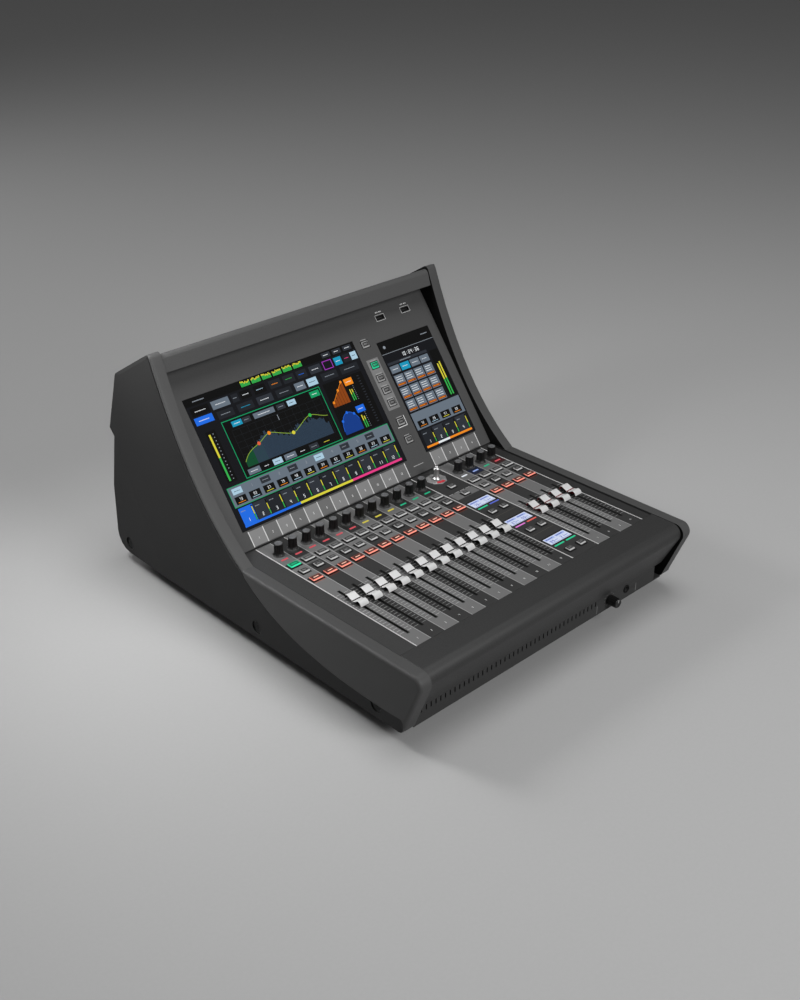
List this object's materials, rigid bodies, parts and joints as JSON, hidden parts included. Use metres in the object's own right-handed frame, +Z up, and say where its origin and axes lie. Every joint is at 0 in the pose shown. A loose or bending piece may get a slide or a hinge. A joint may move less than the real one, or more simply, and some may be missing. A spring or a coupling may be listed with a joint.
{
  "type": "mixing console",
  "caption": "Compact digital mixing console: sliding faders, turning encoders and lit keys on a flat deck, hooded touch screens behind, grained armrest in front.",
  "frame": {"origin": "on the table, under the middle of the console's box", "axes": "+X to the operator's right, +Y from the armrest to the rear, +Z up"},
  "size_m": [0.468, 0.5638, 0.3221],
  "materials": {
    "moulded_frame": "fine moulded grain",
    "moulded_cover": "fine moulded grain",
    "tray_steel": "textured black paint",
    "armrest_skin": "leather-like grain",
    "deck_steel": "satin dark grey paint",
    "bezel_steel": "satin grey paint",
    "hood_steel": "satin grey paint",
    "rear_steel": "textured black paint",
    "screen_glass": "hard-coated screen",
    "label_glass": "backlit label display",
    "socket_metal": "black socket shells",
    "chassis_steel": "bare zinc-plated sheet",
    "circuit_board": "solder resist",
    "supply_case": "folded case",
    "foot_rubber": "matt black",
    "fader_cap": "satin silver top on black sides",
    "knob_rubber": "ribbed black",
    "turned_metal": "turned and polished",
    "key_rubber": "satin grey keys",
    "lit_key_rubber": "lit from below"
  },
  "bodies": {
    "console": {"side_frame_left": "moulded_frame", "side_frame_right": "moulded_frame", "side_cover_left": "moulded_cover", "side_cover_right": "moulded_cover", "base_pan": "tray_steel", "armrest": "armrest_skin", "fader_panel": "deck_steel", "display_bezel": "bezel_steel", "main_display": "screen_glass", "sub_display": "screen_glass", "label_displays": "label_glass", "top_hood": "hood_steel", "rear_panel": "rear_steel", "rear_sockets": "socket_metal", "fader_chassis": "chassis_steel", "main_board": "circuit_board", "power_supply": "supply_case", "foot_front_left": "foot_rubber", "foot_front_right": "foot_rubber", "foot_rear_left": "foot_rubber", "foot_rear_right": "foot_rubber"},
    "fader_01": {"fader_01": "fader_cap"},
    "fader_02": {"fader_02": "fader_cap"},
    "fader_03": {"fader_03": "fader_cap"},
    "fader_04": {"fader_04": "fader_cap"},
    "fader_05": {"fader_05": "fader_cap"},
    "fader_06": {"fader_06": "fader_cap"},
    "fader_07": {"fader_07": "fader_cap"},
    "fader_08": {"fader_08": "fader_cap"},
    "fader_09": {"fader_09": "fader_cap"},
    "fader_10": {"fader_10": "fader_cap"},
    "fader_11": {"fader_11": "fader_cap"},
    "fader_12": {"fader_12": "fader_cap"},
    "fader_13": {"fader_13": "fader_cap"},
    "fader_14": {"fader_14": "fader_cap"},
    "fader_15": {"fader_15": "fader_cap"},
    "fader_16": {"fader_16": "fader_cap"},
    "encoder_01": {"encoder_01": "knob_rubber"},
    "encoder_02": {"encoder_02": "knob_rubber"},
    "encoder_03": {"encoder_03": "knob_rubber"},
    "encoder_04": {"encoder_04": "knob_rubber"},
    "encoder_05": {"encoder_05": "knob_rubber"},
    "encoder_06": {"encoder_06": "knob_rubber"},
    "encoder_07": {"encoder_07": "knob_rubber"},
    "encoder_08": {"encoder_08": "knob_rubber"},
    "encoder_09": {"encoder_09": "knob_rubber"},
    "encoder_10": {"encoder_10": "knob_rubber"},
    "encoder_11": {"encoder_11": "knob_rubber"},
    "encoder_12": {"encoder_12": "knob_rubber"},
    "encoder_13": {"encoder_13": "knob_rubber"},
    "encoder_14": {"encoder_14": "knob_rubber"},
    "encoder_15": {"encoder_15": "knob_rubber"},
    "encoder_16": {"encoder_16": "knob_rubber"},
    "turn_knob": {"turn_knob": "turned_metal"},
    "phones_knob": {"phones_knob": "knob_rubber"},
    "select_keys": {"select_keys": "key_rubber"},
    "cue_keys": {"cue_keys": "key_rubber"},
    "on_keys": {"on_keys": "lit_key_rubber"},
    "centre_keys": {"centre_keys": "key_rubber"},
    "display_keys": {"display_keys": "key_rubber"}
  },
  "joints": [
    {"name": "fader_01_slide", "type": "slide", "parent": "console", "child": "fader_01", "axis": [0, 1, 0], "range_m": [-0.0755, 0.0245]},
    {"name": "fader_02_slide", "type": "slide", "parent": "console", "child": "fader_02", "axis": [0, 1, 0], "range_m": [-0.0755, 0.0245]},
    {"name": "fader_03_slide", "type": "slide", "parent": "console", "child": "fader_03", "axis": [0, 1, 0], "range_m": [-0.0755, 0.0245]},
    {"name": "fader_04_slide", "type": "slide", "parent": "console", "child": "fader_04", "axis": [0, 1, 0], "range_m": [-0.0755, 0.0245]},
    {"name": "fader_05_slide", "type": "slide", "parent": "console", "child": "fader_05", "axis": [0, 1, 0], "range_m": [-0.0755, 0.0245]},
    {"name": "fader_06_slide", "type": "slide", "parent": "console", "child": "fader_06", "axis": [0, 1, 0], "range_m": [-0.0755, 0.0245]},
    {"name": "fader_07_slide", "type": "slide", "parent": "console", "child": "fader_07", "axis": [0, 1, 0], "range_m": [-0.0755, 0.0245]},
    {"name": "fader_08_slide", "type": "slide", "parent": "console", "child": "fader_08", "axis": [0, 1, 0], "range_m": [-0.0755, 0.0245]},
    {"name": "fader_09_slide", "type": "slide", "parent": "console", "child": "fader_09", "axis": [0, 1, 0], "range_m": [-0.0755, 0.0245]},
    {"name": "fader_10_slide", "type": "slide", "parent": "console", "child": "fader_10", "axis": [0, 1, 0], "range_m": [-0.0755, 0.0245]},
    {"name": "fader_11_slide", "type": "slide", "parent": "console", "child": "fader_11", "axis": [0, 1, 0], "range_m": [-0.0755, 0.0245]},
    {"name": "fader_12_slide", "type": "slide", "parent": "console", "child": "fader_12", "axis": [0, 1, 0], "range_m": [-0.0755, 0.0245]},
    {"name": "fader_13_slide", "type": "slide", "parent": "console", "child": "fader_13", "axis": [0, 1, 0], "range_m": [-0.0755, 0.0245]},
    {"name": "fader_14_slide", "type": "slide", "parent": "console", "child": "fader_14", "axis": [0, 1, 0], "range_m": [-0.0755, 0.0245]},
    {"name": "fader_15_slide", "type": "slide", "parent": "console", "child": "fader_15", "axis": [0, 1, 0], "range_m": [-0.0755, 0.0245]},
    {"name": "fader_16_slide", "type": "slide", "parent": "console", "child": "fader_16", "axis": [0, 1, 0], "range_m": [-0.0755, 0.0245]},
    {"name": "encoder_01_turn", "type": "hinge", "parent": "console", "child": "encoder_01", "pos_m": [-0.17913, 0.011, 0.1014], "axis": [0, 0, 1], "continuous": true},
    {"name": "encoder_02_turn", "type": "hinge", "parent": "console", "child": "encoder_02", "pos_m": [-0.15777, 0.011, 0.1014], "axis": [0, 0, 1], "continuous": true},
    {"name": "encoder_03_turn", "type": "hinge", "parent": "console", "child": "encoder_03", "pos_m": [-0.13642, 0.011, 0.1014], "axis": [0, 0, 1], "continuous": true},
    {"name": "encoder_04_turn", "type": "hinge", "parent": "console", "child": "encoder_04", "pos_m": [-0.11507, 0.011, 0.1014], "axis": [0, 0, 1], "continuous": true},
    {"name": "encoder_05_turn", "type": "hinge", "parent": "console", "child": "encoder_05", "pos_m": [-0.09373, 0.011, 0.1014], "axis": [0, 0, 1], "continuous": true},
    {"name": "encoder_06_turn", "type": "hinge", "parent": "console", "child": "encoder_06", "pos_m": [-0.07237, 0.011, 0.1014], "axis": [0, 0, 1], "continuous": true},
    {"name": "encoder_07_turn", "type": "hinge", "parent": "console", "child": "encoder_07", "pos_m": [-0.05103, 0.011, 0.1014], "axis": [0, 0, 1], "continuous": true},
    {"name": "encoder_08_turn", "type": "hinge", "parent": "console", "child": "encoder_08", "pos_m": [-0.02967, 0.011, 0.1014], "axis": [0, 0, 1], "continuous": true},
    {"name": "encoder_09_turn", "type": "hinge", "parent": "console", "child": "encoder_09", "pos_m": [-0.00833, 0.011, 0.1014], "axis": [0, 0, 1], "continuous": true},
    {"name": "encoder_10_turn", "type": "hinge", "parent": "console", "child": "encoder_10", "pos_m": [0.01303, 0.011, 0.1014], "axis": [0, 0, 1], "continuous": true},
    {"name": "encoder_11_turn", "type": "hinge", "parent": "console", "child": "encoder_11", "pos_m": [0.03438, 0.011, 0.1014], "axis": [0, 0, 1], "continuous": true},
    {"name": "encoder_12_turn", "type": "hinge", "parent": "console", "child": "encoder_12", "pos_m": [0.05572, 0.011, 0.1014], "axis": [0, 0, 1], "continuous": true},
    {"name": "encoder_13_turn", "type": "hinge", "parent": "console", "child": "encoder_13", "pos_m": [0.12408, 0.011, 0.1014], "axis": [0, 0, 1], "continuous": true},
    {"name": "encoder_14_turn", "type": "hinge", "parent": "console", "child": "encoder_14", "pos_m": [0.14542, 0.011, 0.1014], "axis": [0, 0, 1], "continuous": true},
    {"name": "encoder_15_turn", "type": "hinge", "parent": "console", "child": "encoder_15", "pos_m": [0.16678, 0.011, 0.1014], "axis": [0, 0, 1], "continuous": true},
    {"name": "encoder_16_turn", "type": "hinge", "parent": "console", "child": "encoder_16", "pos_m": [0.18812, 0.011, 0.1014], "axis": [0, 0, 1], "continuous": true},
    {"name": "turn_knob_turn", "type": "hinge", "parent": "console", "child": "turn_knob", "pos_m": [0.0877, 0.0152, 0.1014], "axis": [0, 0, 1], "continuous": true},
    {"name": "phones_knob_turn", "type": "hinge", "parent": "console", "child": "phones_knob", "pos_m": [0.113, -0.255, 0.0319], "axis": [0, -1, 0], "range_deg": [-150, 150]},
    {"name": "select_keys_press", "type": "slide", "parent": "console", "child": "select_keys", "axis": [0, 0, -1], "range_m": [0, 0.0012], "stiffness_N_per_m": 900, "springref_m": -0.0012},
    {"name": "cue_keys_press", "type": "slide", "parent": "console", "child": "cue_keys", "axis": [0, 0, -1], "range_m": [0, 0.0012], "stiffness_N_per_m": 900, "springref_m": -0.0012},
    {"name": "on_keys_press", "type": "slide", "parent": "console", "child": "on_keys", "axis": [0, 0, -1], "range_m": [0, 0.0012], "stiffness_N_per_m": 900, "springref_m": -0.0012},
    {"name": "centre_keys_press", "type": "slide", "parent": "console", "child": "centre_keys", "axis": [0, 0, -1], "range_m": [0, 0.0012], "stiffness_N_per_m": 900, "springref_m": -0.0012},
    {"name": "display_keys_press", "type": "slide", "parent": "console", "child": "display_keys", "axis": [0, 0.7965, -0.6046], "range_m": [0, 0.0012], "stiffness_N_per_m": 900, "springref_m": -0.0012}
  ]
}
